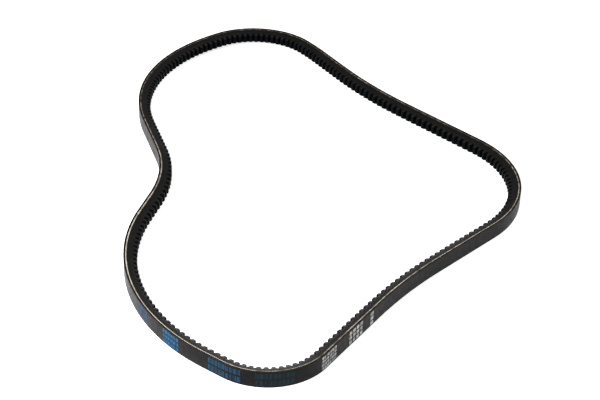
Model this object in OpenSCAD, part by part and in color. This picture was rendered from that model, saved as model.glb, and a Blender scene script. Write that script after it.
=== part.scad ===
// Raw-edge cogged V belt, 10 mm wide, standing on its side edge in a free, slack loop.
// +Z is up, millimetres. The origin is on the floor, under the middle of the loop.
// The belt is a laminate: two fabric plies, the tension cord, adhesion rubber and cogged
// rubber. It is divided across its length into spans, which hinge on the cord line at the
// bottom of a cog notch, so that the stiff solids can follow the way the rubber bends.

/* [Section] */
// Width across the back, the belt's widest part
belt_w = 10; // [9:0.1:12]
// Thickness from the back to the tips of the cogs
belt_h = 7.5; // [7:0.1:9]
// Angle of each side flank from square to the back
flank_angle = 19; // [15:0.5:20]
// Thickness of one fabric ply on the back; there are two
ply_t = 0.45; // [0.3:0.05:0.6]
// Thickness of the adhesion rubber, which holds the tension cord at its outer side
adhesion_t = 1.85; // [1.3:0.05:2.2]
// Diameter of the tension cord
cord_d = 0.9; // [0.6:0.05:0.94]
// Turns of the cord that lie side by side; the flanks cut the two outermost
cord_turns = 10; // [8:1:10]

/* [Cogs] */
// Cogs round the whole belt
cog_count = 222; // [214:1:230]
// Depth of the notch between two cogs
notch_depth = 2.3; // [1.5:0.1:2.8]
// Radius of the rounded bottom of a notch
notch_r = 0.85; // [0.6:0.05:1]
// Angle of each wall of a notch from the notch's middle
notch_angle = 16; // [10:1:20]
// Radius of a rounded cog tip
tip_r = 0.4; // [0.2:0.05:0.5]

/* [Loop] */
// The bends of the cord line in order, anticlockwise, each [centre x, centre y, radius, turn].
// Turn 1 bends to the left and -1 to the right; straight runs touch each bend and the next.
bends = [
    [268.5, 305, 305, -1],  // upper right run, bowed in a little
    [-153.5, 58.5, 183, 1], // top right
    [-46.5, 146.5, 44.5, 1], // top
    [-9, 93, 109.5, 1],     // upper left
    [-192, -6, 95.5, -1],   // waist
    [11.5, -79.5, 120, 1],  // lower left
    [-27.5, -155.5, 35.5, 1], // bottom
    [281.5, -291.5, 298, -1], // lower right run, bowed in a little
    [51.5, -3.5, 67, 1]     // right
];

/* [Spans] */
// Notches at which the belt hinges, counted from the middle of its straight upper right run
hinges = [19, 39, 65, 91, 117, 151, 173, 195, 212];
// Half the angle kept free on each side of a hinge
hinge_clear = 4; // [3:0.5:6]
// Slit between two spans at the cord line
slit = 0.3; // [0.3:0.05:0.5]

/* [Printed marks] */
// Thickness of the ink
ink_t = 0.06; // [0.04:0.01:0.1]
// Blocks of bars on the back, each [first notch, bars in a row, rows, bar length, gap]
blocks = [
    [125.2, 6, 3, 1.7, 0.4],    // blue, round the lower left bend
    [131.5, 6, 3, 1.7, 0.5],    // blue
    [139.15, 9, 2, 1.7, 0.5],   // blue
    [145.3, 9, 2, 1.7, 0.5],    // faded blue, on the bottom bend
    [153.6, 6, 4, 1.8, 0.45],   // white
    [159.5, 4, 3, 2.3, 1.2],   // white
    [164.3, 1, 3, 2.8, 0]       // white, the last
];
// Width of the printed rows together, across the belt
print_w = 9; // [6:0.5:9.5]
// Share of a row that its bars fill
bar_fill = 0.72; // [0.5:0.02:0.8]

/* [Hidden] */
$fn = 240;
taper = tan(flank_angle);
fabric_end = 2 * ply_t;
cord_line = fabric_end + 0.5; // depth of the cord line under the back
adhesion_end = fabric_end + adhesion_t;
cord_pitch = (belt_w - 2 * cord_line * taper) / (cord_turns - 1);
bend_count = len(bends);
span_count = len(hinges) + 1;
reach = 0.5; // how far a cutter runs past what it cuts
lap = 0.05; // how far a straight stretch reaches into the bends at its ends
inset = 0.01; // how much smaller a straight stretch is drawn, so that it laps cleanly

// ---- The cord line ----

function turned(a) = a > 180 ? a - 360 : a < -180 ? a + 360 : a;

// The angle of the outward normal on the straight run from bend i to the next one
function run_angle(i) =
    let (
        a = bends[i % bend_count],
        b = bends[(i + 1) % bend_count],
        d = [b[0] - a[0], b[1] - a[1]],
        k = (a[2] * a[3] - b[2] * b[3]) / norm(d),
        n = k * d / norm(d) + sqrt(1 - k * k) * [d[1], -d[0]] / norm(d)
    )
    atan2(n[1], n[0]);

function touch(i, angle) =
    let (b = bends[i % bend_count])
    [b[0], b[1]] + b[2] * b[3] * [cos(angle), sin(angle)];

// Each piece of the line is [start, angle of the outward normal, length, radius, turn];
// a straight piece has turn 0.
function bend_piece(i) =
    let (
        b = bends[i],
        a = run_angle(i + bend_count - 1),
        swept = turned(run_angle(i) - a)
    )
    [touch(i, a), a, abs(swept) * b[2] * PI / 180, b[2], b[3]];

function run_piece(i, from, to) =
    let (
        a = run_angle(i),
        p = touch(i, a),
        q = touch(i + 1, a)
    )
    [p + from * (q - p), a, (to - from) * norm(q - p), 0, 0];

// The line starts and ends in the middle of the run from the last bend to the first.
pieces = concat(
    [run_piece(bend_count - 1, 0.5, 1)],
    [for (i = [0:bend_count - 1]) each
        i < bend_count - 1 ? [bend_piece(i), run_piece(i, 0, 1)] : [bend_piece(i)]],
    [run_piece(bend_count - 1, 0, 0.5)]
);
piece_count = len(pieces);
function length_before(i) = i == 0 ? 0 : length_before(i - 1) + pieces[i - 1][2];
starts = [for (i = [0:piece_count]) length_before(i)];
cord_length = starts[piece_count];
cog_pitch = cord_length / cog_count;

function piece_at(s, i = 0) =
    i == piece_count - 1 || s < starts[i + 1] ? i : piece_at(s, i + 1);

// Moves children from the x axis out, y along the belt, to length s along the cord line.
module at(s) {
    i = piece_at(s);
    p = pieces[i];
    along = s - starts[i];
    swept = p[4] == 0 ? 0 : p[4] * along / p[3] * 180 / PI;
    out = [cos(p[1]), sin(p[1])];
    ahead = [-out[1], out[0]];
    centre = p[0] - p[4] * p[3] * out;
    angle = p[1] + swept;
    place = p[4] == 0 ? p[0] + along * ahead : centre + p[4] * p[3] * [cos(angle), sin(angle)];
    translate([place[0], place[1], 0])
        rotate([0, 0, angle])
            children();
}

// ---- The section, and what is drawn along the line ----

// One layer of the section, between two depths under the back; x is outward, y is up.
// $less is what a stretch takes off each side of it.
module layer(from, to) {
    polygon([
        [cord_line - from - $less, from * taper + $less],
        [cord_line - from - $less, belt_w - from * taper - $less],
        [cord_line - to + $less, belt_w - to * taper - $less],
        [cord_line - to + $less, to * taper + $less]
    ]);
}

// The cord's turns across the section, before the flanks are cut
module turns(d) {
    for (i = [0:cord_turns - 1])
        translate([0, belt_w / 2 + (i - (cord_turns - 1) / 2) * cord_pitch])
            rotate(22.5)
                circle(d = d, $fn = 8);
}

// Draws a section along the cord line from length s to length e.
module along(s, e) {
    for (i = [piece_at(s):piece_at(e - 0.001)]) {
        over = pieces[i][4] == 0 ? lap : 0;
        a = max(s - starts[i], -over);
        b = min(e - starts[i], pieces[i][2] + over);
        stretch(pieces[i], a, b)
            children();
    }
}

// Draws a section along one piece of the line, from a to b along it.
module stretch(p, a, b) {
    out = [cos(p[1]), sin(p[1])];
    ahead = [-out[1], out[0]];
    if (p[4] == 0) {
        $less = inset;
        q = p[0] + a * ahead;
        translate([q[0], q[1], 0])
            rotate([90, 0, p[1]])
                translate([0, 0, a - b])
                    linear_extrude(b - a)
                        children();
    } else {
        $less = 0;
        centre = p[0] - p[4] * p[3] * out;
        degree = 180 / PI / p[3];
        first = p[4] > 0 ? p[1] + a * degree : p[1] + 180 - b * degree;
        translate([centre[0], centre[1], 0])
            rotate([0, 0, first])
                rotate_extrude(angle = (b - a) * degree)
                    translate([p[3], 0])
                        scale([p[4], 1])
                            children();
    }
}

// ---- What is cut away ----

// The room at a hinge: a slit at the cord line that widens to the back and to the cogs.
module hinge_room(k) {
    deep = belt_h - cord_line + reach;
    high = cord_line + reach;
    wide = tan(hinge_clear);
    at(k * cog_pitch)
        translate([0, 0, -reach])
            linear_extrude(belt_w + 2 * reach)
                polygon([
                    [high, -slit / 2 - high * wide],
                    [high, slit / 2 + high * wide],
                    [0, slit / 2],
                    [-deep, slit / 2 + deep * wide],
                    [-deep, -slit / 2 - deep * wide],
                    [0, -slit / 2]
                ]);
}

// Half the slit at the place where the belt starts and ends, which never moves
module end_room(s) {
    at(s)
        translate([-belt_h, -slit / 2, -reach])
            cube([belt_h + cord_line + reach, slit, belt_w + 2 * reach]);
}

// One notch between two cogs: round at the bottom, opening to rounded cog tips
module notch(k) {
    foot = belt_h - cord_line - notch_depth + notch_r; // depth of the round's centre
    mouth = notch_r * cos(notch_angle) + (notch_depth - notch_r + notch_r * sin(notch_angle))
        * tan(notch_angle);
    round_w = tip_r * cos(notch_angle);
    tip = belt_h - cord_line;
    side = [
        for (a = [0:30:90 - notch_angle]) [-foot + notch_r * cos(a), notch_r * sin(a)],
        [-foot + notch_r * sin(notch_angle), notch_r * cos(notch_angle)],
        [-tip + tip_r, mouth - tip_r * tan(notch_angle)],
        [-tip + tip_r * 0.3, mouth + round_w * 0.15],
        [-tip, mouth + round_w],
        [-tip - reach, mouth + round_w]
    ];
    at(k * cog_pitch)
        translate([0, 0, -reach])
            linear_extrude(belt_w + 2 * reach)
                polygon(concat(side, [for (i = [len(side) - 1:-1:1]) [side[i][0], -side[i][1]]]));
}

// ---- The pieces ----

function first_notch(i) = i == 1 ? 0 : hinges[i - 2];
function last_notch(i) = i == span_count ? cog_count : hinges[i - 1];

// A section along span i, with room for the hinges at its ends
module span(i) {
    difference() {
        along(first_notch(i) * cog_pitch, last_notch(i) * cog_pitch)
            children();
        if (i == 1)
            end_room(0);
        else
            hinge_room(first_notch(i));
        if (i == span_count)
            end_room(cord_length);
        else
            hinge_room(last_notch(i));
    }
}

module outer_fabric(i) {
    color([0.17, 0.17, 0.19])
        span(i)
            layer(0, ply_t);
}

module inner_fabric(i) {
    color([0.14, 0.13, 0.13])
        span(i)
            layer(ply_t, fabric_end);
}

module tension_cord(i) {
    color([0.72, 0.6, 0.46])
        span(i)
            intersection() {
                layer(fabric_end, adhesion_end);
                turns(cord_d - 2 * $less);
            }
}

module adhesion_rubber(i) {
    color([0.07, 0.07, 0.07])
        span(i)
            difference() {
                layer(fabric_end, adhesion_end);
                turns(cord_d + 2 * $less);
            }
}

module cogged_rubber(i) {
    color([0.05, 0.05, 0.05])
        difference() {
            span(i)
                layer(adhesion_end, belt_h);
            for (k = [first_notch(i):last_notch(i)])
                notch(k);
        }
}

// A block of printed bars on the back
module printed_marks(i) {
    block = blocks[i - 1];
    row_pitch = print_w / block[2];
    color(i < 5 ? [0.1, 0.42, 0.72] : [0.85, 0.86, 0.86])
        for (row = [0:block[2] - 1], column = [0:block[1] - 1]) {
            s = block[0] * cog_pitch + column * (block[3] + block[4]);
            low = (belt_w - print_w) / 2 + (row + 0.5 - bar_fill / 2) * row_pitch;
            along(s, s + block[3])
                translate([cord_line - $less, low])
                    square([ink_t, row_pitch * bar_fill]);
        }
}

for (i = [1:span_count]) {
    outer_fabric(i);
    inner_fabric(i);
    tension_cord(i);
    adhesion_rubber(i);
    cogged_rubber(i);
}
for (i = [1:len(blocks)])
    printed_marks(i);
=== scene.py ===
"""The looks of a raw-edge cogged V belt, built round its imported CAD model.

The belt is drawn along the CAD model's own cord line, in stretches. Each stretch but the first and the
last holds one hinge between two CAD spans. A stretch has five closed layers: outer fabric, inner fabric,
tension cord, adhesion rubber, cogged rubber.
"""
import math

import bpy
import numpy as np
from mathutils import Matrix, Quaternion, Vector
from mathutils.geometry import tessellate_polygon


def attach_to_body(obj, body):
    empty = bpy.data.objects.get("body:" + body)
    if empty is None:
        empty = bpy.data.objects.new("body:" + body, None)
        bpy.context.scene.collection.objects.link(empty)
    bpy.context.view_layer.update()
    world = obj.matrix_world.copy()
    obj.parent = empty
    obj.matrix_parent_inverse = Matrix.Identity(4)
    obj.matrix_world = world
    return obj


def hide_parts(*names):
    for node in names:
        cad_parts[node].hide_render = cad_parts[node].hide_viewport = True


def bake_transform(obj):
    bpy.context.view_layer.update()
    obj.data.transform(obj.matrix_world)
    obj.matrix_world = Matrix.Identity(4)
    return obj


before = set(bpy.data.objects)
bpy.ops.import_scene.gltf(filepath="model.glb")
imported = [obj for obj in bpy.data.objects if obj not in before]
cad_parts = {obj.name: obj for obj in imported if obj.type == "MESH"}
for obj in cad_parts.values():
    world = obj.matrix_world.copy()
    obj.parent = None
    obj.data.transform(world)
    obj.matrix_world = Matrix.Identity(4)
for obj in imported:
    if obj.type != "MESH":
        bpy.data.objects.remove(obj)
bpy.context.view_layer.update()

MM = 0.001
UV_NAME = "along_and_across"

# ---- The section; a depth is measured inward from the back ----

BELT_W = 10 * MM
BELT_H = 7.5 * MM
TAPER = math.tan(math.radians(19))  # how much a flank leans in for its depth
PLY_END = 0.45 * MM  # the outer ply ends here, and the inner ply at FABRIC_END
FABRIC_END = 2 * PLY_END
CORD_LINE = FABRIC_END + 0.5 * MM  # the middle of the cord
ADHESION_END = FABRIC_END + 1.85 * MM
CORD_R = 0.45 * MM
CORD_TURNS = 10
CORD_PITCH = (BELT_W - 2 * CORD_LINE * TAPER) / (CORD_TURNS - 1)
STRAND_PITCH = 1.15 * MM  # from one strand of the cord to the next, along the belt
STRAND_RIDGE = 0.035 * MM  # how far a strand stands out between its neighbours
CORD_PROUD = 0.012 * MM  # how far the cut cord stands out of the flank
EDGE = 0.1 * MM  # the worn rounding of an edge
END_GAP = 0.01 * MM  # keeps the belt's two ends a hair apart, so that they never cut into each other

# ---- The cogs ----

COGS = 222
NOTCH_DEPTH = 2.3 * MM
NOTCH_R = 0.85 * MM  # the rounding of a notch's root
NOTCH_ANGLE = math.radians(16)  # how far a notch's side leans from straight in
TIP_R = 0.45 * MM  # the rounding of a cog's corners
NOTCH_ROOT = BELT_H - NOTCH_DEPTH

# ---- The loop: the bends of the cord line in millimetres, [centre x, centre y, radius, turn] ----
# Turn 1 bends to the left and -1 to the right; straight runs touch each bend and the next.

BENDS = [
    [268.5, 305, 305, -1],  # upper right run, bowed in a little
    [-153.5, 58.5, 183, 1],  # top right
    [-46.5, 146.5, 44.5, 1],  # top
    [-9, 93, 109.5, 1],  # upper left
    [-192, -6, 95.5, -1],  # waist
    [11.5, -79.5, 120, 1],  # lower left
    [-27.5, -155.5, 35.5, 1],  # bottom
    [281.5, -291.5, 298, -1],  # lower right run, bowed in a little
    [51.5, -3.5, 67, 1],  # right
]

# Notches at which one stretch ends and the next begins. A hinge of the CAD model is between each two,
# except the first two and the last two.
SEAMS = [0, 10, 29, 52, 78, 104, 130.5, 167, 184, 204, 217, COGS]

# How far the cut cord is darkened, [notch, share], by rubber over it and by painted shade, most round the
# loop's far side; in between it changes steadily
COVER_AND_SHADE = [
    [0, 0.90], [24, 0.86], [48, 0.99], [72, 0.86], [87, 0.47], [100, 0.46], [112, 0.18],
    [140, 0.12], [153, 0.72], [163, 0.40], [190, 0.34], [205, 0.70], [216, 0.97], [COGS, 0.90],
]

# ---- The printed blocks: [first notch, bars in a row, rows, bar length in mm, gap in mm, ink] ----

BLOCKS = [
    [125.2, 6, 3, 1.7, 0.4, "grey_blue"],
    [131.5, 6, 3, 1.7, 0.5, "bright_blue"],
    [139.15, 9, 2, 1.7, 0.5, "blue"],
    [145.3, 9, 2, 1.7, 0.5, "faded_blue"],
    [153.6, 6, 4, 1.8, 0.45, "thin_white"],
    [159.5, 4, 3, 2.3, 1.2, "white"],
    [164.3, 1, 3, 2.8, 0, "white"],
]
PRINT_W = 9 * MM
BAR_FILL = 0.72  # share of a row that its bars fill
INK_PROUD = 0.03 * MM  # how far a bar stands out of the fabric
INK_SUNK = 0.025 * MM  # how far it reaches into the fabric
INK_SOFT = 0.02 * MM  # the rounding of its edges

# Each ink as its darker colour, its lighter colour and the share of it that is left
INKS = {
    "grey_blue": [(0.010, 0.034, 0.078, 1), (0.020, 0.056, 0.118, 1), 0.72],
    "bright_blue": [(0.001, 0.060, 0.145, 1), (0.003, 0.105, 0.24, 1), 0.78],
    "blue": [(0.001, 0.029, 0.060, 1), (0.002, 0.054, 0.112, 1), 0.76],
    "faded_blue": [(0.002, 0.013, 0.020, 1), (0.004, 0.025, 0.036, 1), 0.66],
    "thin_white": [(0.30, 0.31, 0.30, 1), (0.55, 0.56, 0.54, 1), 0.58],
    "white": [(0.36, 0.37, 0.36, 1), (0.62, 0.63, 0.61, 1), 0.72],
}


# ---- The cord line ----

def run_between(a, b):
    """The straight run from bend a to bend b: its ends, and the angle of its outward normal."""
    d = np.array(b[:2]) - np.array(a[:2])
    gap = np.hypot(*d)
    lean = (a[2] * a[3] - b[2] * b[3]) / gap
    n = lean * d / gap + math.sqrt(1 - lean * lean) * np.array([d[1], -d[0]]) / gap
    return np.array(a[:2]) + a[2] * a[3] * n, np.array(b[:2]) + b[2] * b[3] * n, math.atan2(n[1], n[0])


def line_pieces():
    """The cord line as pieces [start x, start y, normal's angle, length, curvature], in metres.

    It starts and ends in the middle of the run from the last bend to the first.
    """
    runs = [run_between(BENDS[i], BENDS[(i + 1) % len(BENDS)]) for i in range(len(BENDS))]
    first, last, angle = runs[-1]
    half = np.hypot(*(last - first)) / 2
    middle = (first + last) / 2
    pieces = [[*middle, angle, half, 0]]
    for i, bend in enumerate(BENDS):
        start_angle = runs[i - 1][2]
        swept = (runs[i][2] - start_angle + math.pi) % (2 * math.pi) - math.pi
        pieces.append([*runs[i - 1][1], start_angle, abs(swept) * bend[2], bend[3] / bend[2]])
        if i < len(BENDS) - 1:
            a, b, angle = runs[i]
            pieces.append([*a, angle, np.hypot(*(b - a)), 0])
    pieces.append([*first, runs[-1][2], half, 0])
    return np.array(pieces, float) * [MM, MM, 1, MM, 1 / MM]


LINE = line_pieces()
STARTS = np.concatenate([[0], np.cumsum(LINE[:, 3])])
LENGTH = STARTS[-1]
PITCH = LENGTH / COGS


def on_line(s):
    """Points on the cord line at the lengths s, and the outward unit vectors there."""
    s = np.mod(s, LENGTH)
    i = np.clip(np.searchsorted(STARTS, s, side="right") - 1, 0, len(LINE) - 1)
    x, y, angle, _, curve = LINE[i].T
    along = s - STARTS[i]
    turned = angle + along * curve
    bent = np.abs(curve) > 0
    radius = np.where(bent, 1 / np.where(bent, curve, 1), 0)
    out = np.stack([np.cos(turned), np.sin(turned)], 1)
    before = np.stack([np.cos(angle), np.sin(angle)], 1)
    ahead = np.stack([-before[:, 1], before[:, 0]], 1)
    moved = np.where(bent[:, None], radius[:, None] * (out - before), along[:, None] * ahead)
    return np.stack([x, y], 1) + moved, out


def smooth(t):
    """A soft step: 0 below 0, 1 above 1."""
    t = np.clip(t, 0, 1)
    return t * t * (3 - 2 * t)


def on_belt(s, depth, z):
    """Points of the belt, in the frame. Below the notches' roots a cog stays straight in a bend."""
    base, out = on_line(s)
    free = base + (CORD_LINE - depth)[:, None] * out
    middle = (np.floor(np.clip(s / PITCH, 0, COGS - 1e-6)) + 0.5) * PITCH
    base, out = on_line(middle)
    ahead = np.stack([-out[:, 1], out[:, 0]], 1)
    stiff = base + (s - middle)[:, None] * ahead + (CORD_LINE - depth)[:, None] * out
    share = smooth((depth - NOTCH_ROOT) / (0.7 * NOTCH_DEPTH))[:, None]
    return np.column_stack([free * (1 - share) + stiff * share, z])


# ---- Meshes ----

class Solid:
    """Collects closed sweeps along the belt as one mesh."""

    def __init__(self):
        self.points = []
        self.faces = []
        self.uv = []
        self.slots = []
        self.count = 0

    def sweep(self, s, loops, slots=None):
        """A closed solid through the rings at lengths s.

        A loop is [depth, z, across], each a ring-by-point array, and goes the same way round as the
        section's outline. The first is the outline and the others are channels in it.
        across is the texture coordinate round the section. slots says which material each strip wears.
        """
        s = np.minimum(s, LENGTH - END_GAP)
        bases = []
        for number, (depth, z, across) in enumerate(loops):
            rings, width = depth.shape
            along = np.repeat(s, width)
            self.points.append(on_belt(along, depth.ravel(), z.ravel()))
            here = np.arange((rings - 1) * width).reshape(rings - 1, width) + self.count
            side = np.roll(here, -1, axis=1)
            quads = np.stack([here, here + width, side + width, side], axis=-1)
            u = along.reshape(rings, width)
            next_across = np.roll(across, -1, axis=1)
            next_across[:, -1] = across[:, -1] + EDGE
            corners = np.stack([
                np.stack([u[:-1], across[:-1]], -1),
                np.stack([u[1:], across[1:]], -1),
                np.stack([u[1:], next_across[1:]], -1),
                np.stack([u[:-1], next_across[:-1]], -1),
            ], axis=2)
            if number > 0:
                quads = quads[:, :, ::-1]
                corners = corners[:, :, ::-1]
            self.faces += quads.reshape(-1, 4).tolist()
            self.uv.append(corners.reshape(-1, 2))
            strip = slots if number == 0 and slots is not None else [0] * width
            self.slots += list(strip) * (rings - 1)
            bases.append((self.count, rings, width))
            self.count += rings * width
        self.cap(loops, bases, 0)
        self.cap(loops, bases, -1)

    def cap(self, loops, bases, end):
        """Closes the first or the last ring."""
        outlines = [
            [Vector((z, -depth, 0)) for depth, z in zip(loop[0][end], loop[1][end])] for loop in loops
        ]
        names = [
            base + (0 if end == 0 else (rings - 1) * width) + i
            for base, rings, width in bases for i in range(width)
        ]
        flat = [point for outline in outlines for point in outline]
        for a, b, c in tessellate_polygon(outlines):
            area = (flat[b] - flat[a]).cross(flat[c] - flat[a]).z
            corner = (a, b, c) if (area > 0) == (end == -1) else (a, c, b)
            self.faces.append([names[i] for i in corner])
            self.uv.append(np.array([[flat[i].x, flat[i].y] for i in corner]))
            self.slots.append(0)

    def build(self, name, materials, sharp=40):
        """The finished Blender object."""
        mesh = bpy.data.meshes.new(name)
        mesh.from_pydata(np.concatenate(self.points).tolist(), [], self.faces)
        layer = mesh.uv_layers.new(name=UV_NAME)
        layer.data.foreach_set("uv", np.concatenate(self.uv).astype(np.float32).ravel())
        for material in materials:
            mesh.materials.append(material)
        mesh.polygons.foreach_set("material_index", self.slots)
        mesh.polygons.foreach_set("use_smooth", [True] * len(mesh.polygons))
        mesh.set_sharp_from_angle(angle=math.radians(sharp))
        mesh.validate()
        piece = bpy.data.objects.new(name, mesh)
        bpy.context.scene.collection.objects.link(piece)
        return piece


def constant(rings, outline):
    """A section that stays the same along the belt: rows of (depth, z, across) as ring-by-point arrays."""
    return [np.tile(column, (rings, 1)) for column in np.array(outline, float).T]


def with_mirror(upper):
    """The outline that starts with these points of the upper half and ends with their mirror image."""
    lower = [[depth, BELT_W - z, BELT_W + 2 * BELT_H - across] for depth, z, across in reversed(upper)]
    return upper + lower


def flank(depth, inward=0.0):
    """A point of the upper flank, set in from it by inward, as (depth, z, across)."""
    return [depth, BELT_W - depth * TAPER - inward, depth]


def rings_between(start, end, step):
    """Lengths along the belt from start to end, about a step apart."""
    count = max(2, int(round((end - start) / step)) + 1)
    return np.linspace(start, end, count)


# ---- The layers ----

def outer_fabric_outline():
    """The ply on the back, going round from the back's upper half to its lower half."""
    upper = [
        [0, BELT_W * 0.5, -0.5 * BELT_W],
        [0, BELT_W * 0.75, -0.25 * BELT_W],
        [0, BELT_W - 2.2 * EDGE, -2.2 * EDGE],
        [0.25 * EDGE, BELT_W - EDGE, -EDGE],
        flank(1.2 * EDGE, 0.15 * EDGE),
        flank(2.4 * EDGE),
        flank(PLY_END),
    ]
    return with_mirror(upper)[1:]


def inner_fabric_outline():
    return with_mirror([flank(PLY_END), flank(1.5 * PLY_END), flank(FABRIC_END)])


def wander(s, scale=1.0):
    """A slow, smooth change along the belt, from about -1 to 1, that meets itself at the ends."""
    turn = 2 * np.pi * s / LENGTH
    return (np.sin(17 * turn * scale + 1) + np.sin(41 * turn * scale + 4) + np.sin(97 * turn * scale)) / 3


def cut_radius(s):
    """Half the width of the cord that a flank cuts open; it changes as the helix nears the surface."""
    return CORD_R * (0.66 + 0.10 * wander(s))


def round_cord_line(down, out):
    """Points of the upper flank near the cord line, down the flank from it and out of the flank."""
    length = math.hypot(1, TAPER)
    depth = CORD_LINE + (down + out * TAPER) / length
    z = BELT_W - CORD_LINE * TAPER + (out - down * TAPER) / length
    return [depth, z, CORD_LINE + down]


def cut_turn(radius, proud):
    """The outermost turn as the flank cuts it, a D with its flat in the upper flank.

    proud is how far the flat's points stand out of the flank, one row per ring.
    """
    flat = np.linspace(-1, 1, proud.shape[1])
    round_side = np.radians(np.arange(30, 180, 30))
    down = radius[:, None] * np.concatenate([flat, np.cos(round_side)])
    out = np.column_stack([proud, -radius[:, None] * np.sin(round_side)])
    return round_cord_line(down, out)


def mirrored(loop):
    """A loop of the upper half in the lower half, going the same way round."""
    depth, z, across = [array[:, ::-1] for array in loop]
    return [depth.copy(), BELT_W - z, BELT_W + 2 * BELT_H - across]


def inner_turn(rings, number, radius):
    """One of the turns inside the rubber, as an octagon."""
    turn = np.radians(22.5 + 45 * np.arange(8))
    z = BELT_W / 2 + (number - (CORD_TURNS - 1) / 2) * CORD_PITCH
    outline = np.column_stack([CORD_LINE - radius * np.cos(turn), z + radius * np.sin(turn), radius * turn])
    return constant(rings, outline)


def adhesion_outline(radius):
    """The adhesion rubber's outline at each ring, with a groove in each flank for the cut turn."""
    rings = len(radius)
    round_side = np.radians(np.arange(180, -1, -30))
    groove = round_cord_line(radius[:, None] * np.cos(round_side), -radius[:, None] * np.sin(round_side))
    start = constant(rings, [flank(FABRIC_END)])
    end = constant(rings, [flank(0.3 * CORD_LINE + 0.7 * ADHESION_END), flank(ADHESION_END)])
    upper = [np.column_stack(columns) for columns in zip(start, groove, end)]
    lower = mirrored(upper)
    return [np.column_stack(columns) for columns in zip(upper, lower)]


def cog_profile():
    """One cog from the middle of a notch to the middle of the next, as (share of the pitch, depth)."""
    centre = NOTCH_ROOT + NOTCH_R
    mouth = NOTCH_R * math.cos(NOTCH_ANGLE)
    mouth += (NOTCH_DEPTH - NOTCH_R + NOTCH_R * math.sin(NOTCH_ANGLE)) * math.tan(NOTCH_ANGLE)
    half = [
        [NOTCH_R * math.sin(a), centre - NOTCH_R * math.cos(a)]
        for a in np.linspace(0, math.pi / 2 - NOTCH_ANGLE, 7)
    ]
    tangent = TIP_R * math.tan(math.pi / 4 - NOTCH_ANGLE / 2)
    tip_centre = mouth + tangent
    half += [
        [tip_centre - TIP_R * math.cos(a), BELT_H - TIP_R + TIP_R * math.sin(a)]
        for a in np.linspace(NOTCH_ANGLE, math.pi / 2, 5)
    ]
    half.append([PITCH / 2, BELT_H])
    half = np.array(half)
    other = half[-2::-1] * [-1, 1] + [PITCH, 0]
    profile = np.concatenate([half, other])
    return profile[:, 0] / PITCH, profile[:, 1]


def cog_rings(first, last):
    """Lengths and depths of the cogged surface from one notch to another; a notch may be a half."""
    share, depth = cog_profile()
    cogs = np.arange(math.floor(first), math.ceil(last))
    notch = (cogs[:, None] + share[None, :-1]).ravel()
    deep = np.tile(depth[:-1], len(cogs))
    notch = np.append(notch, cogs[-1] + 1)
    deep = np.append(deep, depth[-1])
    kept = (notch > first - 1e-6) & (notch < last + 1e-6)
    return notch[kept] * PITCH, deep[kept]


def cog_outline(deep):
    """The cogged rubber's outline at rings of the given depths."""
    rings = len(deep)
    top = np.full(rings, ADHESION_END)
    web = np.full(rings, (ADHESION_END + NOTCH_ROOT) / 2)
    tip = deep - EDGE
    inset = np.full(rings, BELT_W * 0.28)
    middle = np.full(rings, BELT_W * 0.5)
    depth = [top, web, tip, deep, deep, deep]
    z = [
        BELT_W - top * TAPER,
        BELT_W - web * TAPER,
        BELT_W - tip * TAPER,
        BELT_W - deep * TAPER - EDGE,
        BELT_W - inset,
        BELT_W - middle,
    ]
    across = [top, web, tip, deep + EDGE, BELT_H + inset, BELT_H + middle]
    upper = [np.column_stack(columns) for columns in (depth, z, across)]
    lower = mirrored([array[:, :-1] for array in upper])
    return [np.column_stack(columns) for columns in zip(upper, lower)]


def build_outer_fabric(name, start, end, materials):
    s = rings_between(start, end, PITCH / 3)
    outline = outer_fabric_outline()
    strips = [0, 2, 2, 1, 1, 1, 1, 1, 2, 2, 0, 0, 0]  # 0 the back, 1 the flank, 2 the worn corner between
    solid = Solid()
    solid.sweep(s, [constant(len(s), outline)], strips)
    return solid.build(name, [materials["fabric"], materials["ply_edge"], materials["fringe"]])


def build_inner_fabric(name, start, end, materials):
    s = rings_between(start, end, PITCH / 3)
    solid = Solid()
    solid.sweep(s, [constant(len(s), inner_fabric_outline())])
    return solid.build(name, [materials["inner_ply"]])


def build_cord(name, start, end, materials):
    """The turns side by side: the two outermost cut open, with slanting strands, and the others whole."""
    s = rings_between(start, end, STRAND_PITCH / 4)
    flat = np.linspace(-1, 1, 5)
    slant = 0.55 * flat
    fade = 1 - 0.8 * flat ** 4
    phase = 2 * np.pi * (s[:, None] / STRAND_PITCH + slant)
    ridges = STRAND_RIDGE * (0.5 + 0.5 * np.sin(phase)) * fade
    proud = CORD_PROUD * (1 + wander(s, 2)[:, None]) + ridges
    proud = np.maximum(proud, CORD_PROUD / 3)
    turn = cut_turn(cut_radius(s), proud)
    solid = Solid()
    solid.sweep(s, [turn])
    solid.sweep(s, [mirrored(turn)])
    s = rings_between(start, end, PITCH / 2)
    for number in range(1, CORD_TURNS - 1):
        solid.sweep(s, [inner_turn(len(s), number, CORD_R)])
    return solid.build(name, [materials["cord"]])


def build_adhesion_rubber(name, start, end, materials):
    s = rings_between(start, end, PITCH / 2)
    channels = [inner_turn(len(s), number, CORD_R) for number in range(1, CORD_TURNS - 1)]
    solid = Solid()
    solid.sweep(s, [adhesion_outline(cut_radius(s) - 0.005 * MM), *channels])
    return solid.build(name, [materials["flank"]])


def build_cogged_rubber(name, start, end, materials):
    s, deep = cog_rings(start / PITCH, end / PITCH)
    outline = cog_outline(deep)
    width = outline[0].shape[1]
    strips = [0, 0] + [1] * (width - 5) + [0, 0, 0]
    solid = Solid()
    solid.sweep(s, [outline], strips)
    return solid.build(name, [materials["flank"], materials["cog"]])


LAYERS = {
    "outer_fabric": build_outer_fabric,
    "inner_fabric": build_inner_fabric,
    "tension_cord": build_cord,
    "adhesion_rubber": build_adhesion_rubber,
    "cogged_rubber": build_cogged_rubber,
}


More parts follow.
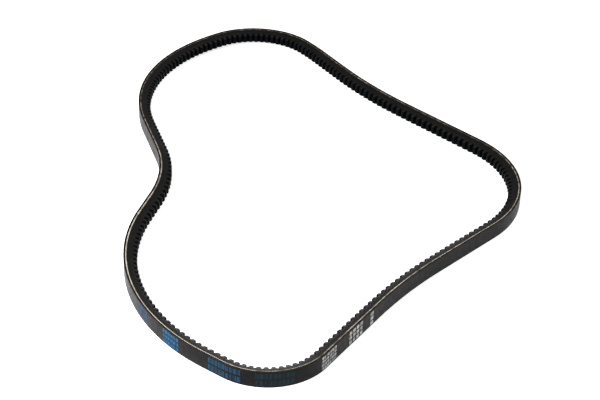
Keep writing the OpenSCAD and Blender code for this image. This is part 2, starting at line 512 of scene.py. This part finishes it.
def attach(piece, stretch):
    """Ties a piece of the first or the last stretch to one CAD span, and bakes any other piece where it
    stands.
    """
    if stretch == 0 or stretch == len(SEAMS) - 2:
        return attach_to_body(piece, "span_1" if stretch == 0 else f"span_{stretch}")
    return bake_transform(piece)


def build_belt(materials):
    spans = len(SEAMS) - 2
    for stretch in range(len(SEAMS) - 1):
        start = SEAMS[stretch] * PITCH
        end = SEAMS[stretch + 1] * PITCH
        for layer, build in LAYERS.items():
            piece = build(f"{layer}_stretch_{stretch + 1}", start, end, materials)
            attach(piece, stretch)
            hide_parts(f"{layer}_{min(stretch + 1, spans)}")


def build_marks(materials):
    """The printed blocks of bars on the back."""
    for i, (notch, bars, rows, bar, gap, ink) in enumerate(BLOCKS, 1):
        row_pitch = PRINT_W / rows
        solid = Solid()
        for row in range(rows):
            low = (BELT_W - PRINT_W) / 2 + (row + 0.5 - BAR_FILL / 2) * row_pitch
            high = low + BAR_FILL * row_pitch
            section = [
                [-INK_PROUD, high - INK_SOFT], [0, high], [INK_SUNK, high],
                [INK_SUNK, low], [0, low], [-INK_PROUD, low + INK_SOFT],
            ]
            outline = [[depth, z, z] for depth, z in section]
            for column in range(bars):
                start = notch * PITCH + column * (bar + gap) * MM
                s = rings_between(start, start + bar * MM, bar * MM / 4)
                solid.sweep(s, [constant(len(s), outline)])
        piece = solid.build(f"printed_marks_{i}_ink", [materials[ink]])
        attach(piece, int(np.searchsorted(SEAMS, notch)) - 1)
        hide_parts(f"printed_marks_{i}")


# ---- Materials ----

class Net:
    """One material's node tree, with short calls for the nodes used here. Lengths in it are millimetres."""

    def __init__(self, name):
        self.material = bpy.data.materials.new(name)
        self.material.use_nodes = True
        self.tree = self.material.node_tree
        self.shader = self.tree.nodes["Principled BSDF"]
        uv = self.node("ShaderNodeUVMap", uv_map=UV_NAME)
        scale = self.node("ShaderNodeVectorMath", operation="SCALE")
        scale.inputs["Scale"].default_value = 1 / MM
        self.link(uv.outputs["UV"], scale.inputs[0])
        self.place = scale.outputs["Vector"]

    def node(self, kind, **settings):
        made = self.tree.nodes.new(kind)
        for key, value in settings.items():
            setattr(made, key, value)
        return made

    def link(self, output, target):
        """Links an output to an input, or sets the input if output is a plain number or colour."""
        if isinstance(output, (int, float, tuple)):
            target.default_value = output
        else:
            self.tree.links.new(output, target)

    def math(self, operation, a, b=0.0):
        made = self.node("ShaderNodeMath", operation=operation)
        self.link(a, made.inputs[0])
        self.link(b, made.inputs[1])
        return made.outputs[0]

    def stretched(self, along, across):
        """The place with its two directions scaled."""
        made = self.node("ShaderNodeVectorMath", operation="MULTIPLY")
        self.link(self.place, made.inputs[0])
        made.inputs[1].default_value = (along, across, 1)
        return made.outputs[0]

    def noise(self, size, detail=3.0, rough=0.5, along=1.0, across=1.0, offset=0.0):
        """Noise from 0 to 1 with features of a size in millimetres."""
        made = self.node("ShaderNodeTexNoise", noise_dimensions="3D")
        where = self.node("ShaderNodeVectorMath", operation="ADD")
        self.link(self.stretched(along, across), where.inputs[0])
        where.inputs[1].default_value = (offset, offset, offset)
        self.link(where.outputs[0], made.inputs["Vector"])
        made.inputs["Scale"].default_value = 1 / size
        made.inputs["Detail"].default_value = detail
        made.inputs["Roughness"].default_value = rough
        return made.outputs["Fac"]

    def dots(self, size, along=1.0, across=1.0):
        """Scattered points a size in millimetres apart: the distance to the nearest, and its own number."""
        made = self.node("ShaderNodeTexVoronoi")
        self.link(self.stretched(along, across), made.inputs["Vector"])
        made.inputs["Scale"].default_value = 1 / size
        apart = self.node("ShaderNodeSeparateColor")
        self.link(made.outputs["Color"], apart.inputs[0])
        return made.outputs["Distance"], apart.outputs[0]

    def between(self, value, low, high, to_low=0.0, to_high=1.0):
        """Value from low to high as a number from to_low to to_high, held at the ends."""
        made = self.node("ShaderNodeMapRange", interpolation_type="SMOOTHSTEP")
        self.link(value, made.inputs["Value"])
        for key, number in (("From Min", low), ("From Max", high), ("To Min", to_low), ("To Max", to_high)):
            made.inputs[key].default_value = number
        return made.outputs["Result"]

    def along(self, stops):
        """A value that changes along the belt through stops of [share of the belt's length, value]."""
        made = self.node("ShaderNodeValToRGB")
        apart = self.node("ShaderNodeSeparateXYZ")
        self.link(self.place, apart.inputs[0])
        self.link(self.math("DIVIDE", apart.outputs[0], LENGTH / MM), made.inputs["Fac"])
        ramp = made.color_ramp.elements
        for _ in stops[2:]:
            ramp.new(0.5)
        for stop, (place, value) in zip(ramp, stops):
            stop.position = place
            stop.color = (value, value, value, 1)
        return made.outputs["Color"]

    def mix(self, share, first, second):
        """A colour between two."""
        made = self.node("ShaderNodeMix", data_type="RGBA")
        self.link(share, made.inputs["Factor"])
        self.link(first, made.inputs["A"])
        self.link(second, made.inputs["B"])
        return made.outputs["Result"]

    def weave(self, pitch):
        """Bumps of a plain weave whose threads cross the belt at 45 degrees, from -1 to 1."""
        apart = self.node("ShaderNodeSeparateXYZ")
        self.link(self.place, apart.inputs[0])
        turn = math.pi * math.sqrt(2) / pitch
        total = self.math("MULTIPLY", self.math("ADD", apart.outputs[0], apart.outputs[1]), turn)
        apart_by = self.math("MULTIPLY", self.math("SUBTRACT", apart.outputs[0], apart.outputs[1]), turn)
        return self.math("MULTIPLY", self.math("SINE", total), self.math("SINE", apart_by))

    def bump(self, height, distance, strength=1.0, after=None):
        """Adds a bump of a height from 0 to 1, distance millimetres deep, to the shader's normal."""
        made = self.node("ShaderNodeBump")
        made.inputs["Strength"].default_value = strength
        made.inputs["Distance"].default_value = distance * MM
        self.link(height, made.inputs["Height"])
        if after is not None:
            self.link(after, made.inputs["Normal"])
        self.link(made.outputs["Normal"], self.shader.inputs["Normal"])
        return made.outputs["Normal"]

    def finish(self, colour, roughness, specular=0.5, **more):
        """Sets the shader's colour, roughness and gloss."""
        self.link(colour, self.shader.inputs["Base Color"])
        self.link(roughness, self.shader.inputs["Roughness"])
        self.shader.inputs["Specular IOR Level"].default_value = specular
        for key, value in more.items():
            self.shader.inputs[key.replace("_", " ").title()].default_value = value
        return self.material


def fabric_colour(net):
    """The rubbered fabric of the back, and the height of its weave."""
    weave = net.weave(0.55)
    cloud = net.noise(9, 3, 0.6, along=0.5)
    grain = net.noise(0.25, 2, 0.6)
    faded = net.between(cloud, 0.35, 0.68)
    shade = net.mix(faded, (0.0028, 0.0027, 0.0029, 1), (0.0060, 0.0057, 0.0064, 1))
    threads = net.mix(net.between(weave, 0.1, 0.9), shade, (0.0085, 0.0080, 0.0096, 1))
    dusty = net.mix(net.between(grain, 0.60, 0.74), threads, (0.021, 0.020, 0.022, 1))
    return dusty, weave, grain


def fabric_material():
    net = Net("fabric_back")
    colour, weave, grain = fabric_colour(net)
    relief = net.bump(net.math("ADD", net.math("MULTIPLY", weave, 0.5), 0.5), 0.05, 0.7)
    net.bump(grain, 0.03, 0.5, after=relief)
    rough = net.between(net.noise(3, 3), 0.3, 0.7, 0.34, 0.46)
    return net.finish(colour, rough, 0.07)


def threads_material(name, ground, tan, least):
    """Fabric cut across: the ends of tan threads in dark rubber. A lower least shows more of them."""
    net = Net(name)
    distance, number = net.dots(0.24, along=0.7)
    ends = net.between(distance, 0.28, 0.50, 1, 0)
    thread = net.math("MULTIPLY", ends, net.between(number, least, least + 0.3))
    shade = net.mix(net.noise(1.5, 3), tuple(0.45 * c for c in ground) + (1,), ground + (1,))
    colour = net.mix(thread, shade, tan + (1,))
    net.bump(thread, 0.04, 0.8)
    return net.finish(colour, 0.8, 0.15)


def cord_material():
    """The ground cord: cream strands, darker rubber between them and over some, and painted shade on the
    far side.
    """
    net = Net("tension_cord")
    apart = net.node("ShaderNodeSeparateXYZ")
    net.link(net.place, apart.inputs[0])
    turn = 2 * math.pi * MM / STRAND_PITCH
    phase = net.math("MULTIPLY", net.math("ADD", apart.outputs[0], apart.outputs[1]), turn)
    strands = net.between(net.math("SINE", phase), -0.9, 0.5)
    fibre = net.noise(0.09, 3, 0.6, along=0.35)
    bright = net.mix(fibre, (0.76, 0.665, 0.53, 1), (0.95, 0.88, 0.75, 1))
    ground = net.mix(fibre, (0.24, 0.19, 0.14, 1), (0.46, 0.40, 0.32, 1))
    colour = net.mix(strands, ground, bright)
    # Painted shade: the share along the belt, with noise patches, mixes in a dark brown that stands for
    # rubber over the cord and for shade, most of it round the loop's far side.
    share = net.along([[notch / COGS, cover_and_shade] for notch, cover_and_shade in COVER_AND_SHADE])
    patches = net.math("MULTIPLY", net.math("SUBTRACT", net.noise(3.5, 4, 0.65), 0.5), 2.2)
    cover_and_shade = net.between(net.math("ADD", share, patches), -0.15, 1.05)
    wear_and_shade = net.mix(cover_and_shade, colour, (0.040, 0.028, 0.018, 1))
    net.bump(fibre, 0.05, 0.8)
    return net.finish(wear_and_shade, 0.85, 0.2)


def flank_material():
    """Ground rubber: matt black with the ends of short fibres in it."""
    net = Net("ground_rubber")
    distance, number = net.dots(0.34)
    flecks = net.math("MULTIPLY", net.between(distance, 0.10, 0.26, 1, 0), net.between(number, 0.60, 0.68))
    grind = net.noise(0.16, 3, 0.65, along=0.30)
    cloud = net.noise(4, 3, 0.6, along=0.5)
    base = net.mix(net.between(cloud, 0.3, 0.7), (0.0025, 0.0023, 0.0023, 1), (0.0050, 0.0046, 0.0044, 1))
    dusty = net.mix(net.between(grind, 0.52, 0.80), base, (0.014, 0.012, 0.0115, 1))
    colour = net.mix(flecks, dusty, (0.060, 0.045, 0.036, 1))
    relief = net.bump(grind, 0.05, 0.6)
    net.bump(flecks, 0.02, 0.6, after=relief)
    return net.finish(colour, net.between(grind, 0.3, 0.7, 0.40, 0.52), 0.25)


def cog_material():
    """The moulded cog face, smoother and blacker than the flank."""
    net = Net("moulded_rubber")
    skin = net.noise(0.5, 4, 0.6)
    cloud = net.noise(6, 2)
    colour = net.mix(net.between(cloud, 0.3, 0.7), (0.0008, 0.0012, 0.0017, 1), (0.0019, 0.0023, 0.0031, 1))
    net.bump(skin, 0.04, 0.5)
    return net.finish(colour, net.between(skin, 0.3, 0.7, 0.40, 0.55), 0.025)


def ink_material(name, ink, light, cover):
    """Printed ink, worn off in spots down to the fabric. cover is the share that is left."""
    net = Net(name)
    ground, weave, grain = fabric_colour(net)
    thin = net.noise(0.45, 3, 0.6, offset=31)
    patch = net.noise(2.4, 2, 0.5, offset=57)
    left = net.math("ADD", net.math("MULTIPLY", thin, 0.65), net.math("MULTIPLY", patch, 0.35))
    edge = 0.62 - 0.24 * cover
    wear_and_shade = net.between(left, edge - 0.03, edge + 0.03)
    colour = net.mix(wear_and_shade, ground, net.mix(net.between(thin, 0.3, 0.75), ink, light))
    net.bump(net.math("ADD", net.math("MULTIPLY", weave, 0.3), wear_and_shade), 0.03, 0.6)
    return net.finish(colour, 0.5, 0.08)


def floor_material():
    """A white studio floor. It glows a little more about a metre out, where the lamps stop reaching it."""
    net = Net("pale_floor")
    colour = net.mix(net.noise(300, 2), (0.78, 0.78, 0.78, 1), (0.82, 0.82, 0.82, 1))
    distance = net.node("ShaderNodeVectorMath", operation="LENGTH")
    net.link(net.place, distance.inputs[0])
    glow = net.between(distance.outputs["Value"], 900, 1400, 0.8, 1)
    net.link(glow, net.shader.inputs["Emission Strength"])
    return net.finish(colour, 0.9, 0.1, emission_color=(1, 1, 1, 1))


def all_materials():
    made = {
        "fabric": fabric_material(),
        "fringe": threads_material("fabric_fringe", (0.016, 0.011, 0.007), (0.10, 0.066, 0.038), 0.1),
        "ply_edge": threads_material("outer_ply_cut", (0.008, 0.006, 0.004), (0.06, 0.04, 0.024), 0.4),
        "inner_ply": threads_material("inner_ply_cut", (0.006, 0.005, 0.004), (0.05, 0.036, 0.022), 0.5),
        "cord": cord_material(),
        "flank": flank_material(),
        "cog": cog_material(),
    }
    for name, (ink, light, cover) in INKS.items():
        made[name] = ink_material(f"{name}_ink", ink, light, cover)
    return made


# ---- The studio ----

CAMERA_HEIGHT = math.radians(32.588)  # the angle that the camera looks down by
CAMERA_ROLL = math.radians(1.837)
CAMERA_DISTANCE = 0.9072
CAMERA_LENS = 91.06  # in millimetres, on a 36 mm wide sensor
TARGET = Vector((-12.53 * MM, -16.9 * MM, 0))
FLOOR_REACH = 6.0
FLOOR_DROP = 0.05 * MM  # the floor is a hair lower than the belt's lower flank

# The lamps as [name, place, side length, power]
LAMPS = [
    ["left", (-0.45, -0.3, 0.5), 0.4, 8.7],
    ["right", (0.8, 0.2, 0.9), 0.8, 5.2],
    ["behind", (0, 1.3, 0.35), 1.0, 0.5],
]


def add_camera():
    data = bpy.data.cameras.new("camera")
    data.sensor_width = 36
    data.lens = CAMERA_LENS
    data.clip_start = 0.01
    data.clip_end = 50
    camera = bpy.data.objects.new("camera", data)
    bpy.context.scene.collection.objects.link(camera)
    forward = Vector((0, math.cos(CAMERA_HEIGHT), -math.sin(CAMERA_HEIGHT)))
    camera.location = TARGET - CAMERA_DISTANCE * forward
    camera.rotation_mode = "QUATERNION"
    camera.rotation_quaternion = forward.to_track_quat("-Z", "Y") @ Quaternion((0, 0, 1), CAMERA_ROLL)
    bpy.context.scene.camera = camera


def add_lamp(name, place, size, power):
    """A soft square lamp that shines at the middle of the belt."""
    data = bpy.data.lights.new(name, "AREA")
    data.size = size
    data.energy = power
    light = bpy.data.objects.new(name, data)
    light.location = place
    light.rotation_mode = "QUATERNION"
    light.rotation_quaternion = (-Vector(place)).to_track_quat("-Z", "Y")
    bpy.context.scene.collection.objects.link(light)


def add_floor():
    mesh = bpy.data.meshes.new("floor")
    corners = [(x * FLOOR_REACH, y * FLOOR_REACH, 0) for x, y in ((-1, -1), (1, -1), (1, 1), (-1, 1))]
    mesh.from_pydata(corners, [], [(0, 1, 2, 3)])
    layer = mesh.uv_layers.new(name=UV_NAME)
    for loop, (x, y, _) in zip(layer.data, corners):
        loop.uv = (x, y)
    mesh.materials.append(floor_material())
    floor = bpy.data.objects.new("floor", mesh)
    floor.location.z = -FLOOR_DROP
    bpy.context.scene.collection.objects.link(floor)


def add_studio():
    add_floor()
    world = bpy.data.worlds.new("studio")
    world.use_nodes = True
    world.node_tree.nodes["Background"].inputs["Color"].default_value = (1, 1, 1, 1)
    world.node_tree.nodes["Background"].inputs["Strength"].default_value = 0.06
    bpy.context.scene.world = world
    for lamp in LAMPS:
        add_lamp(*lamp)
    bpy.context.scene.view_settings.view_transform = "Standard"


materials = all_materials()
build_belt(materials)
build_marks(materials)
add_camera()
add_studio()
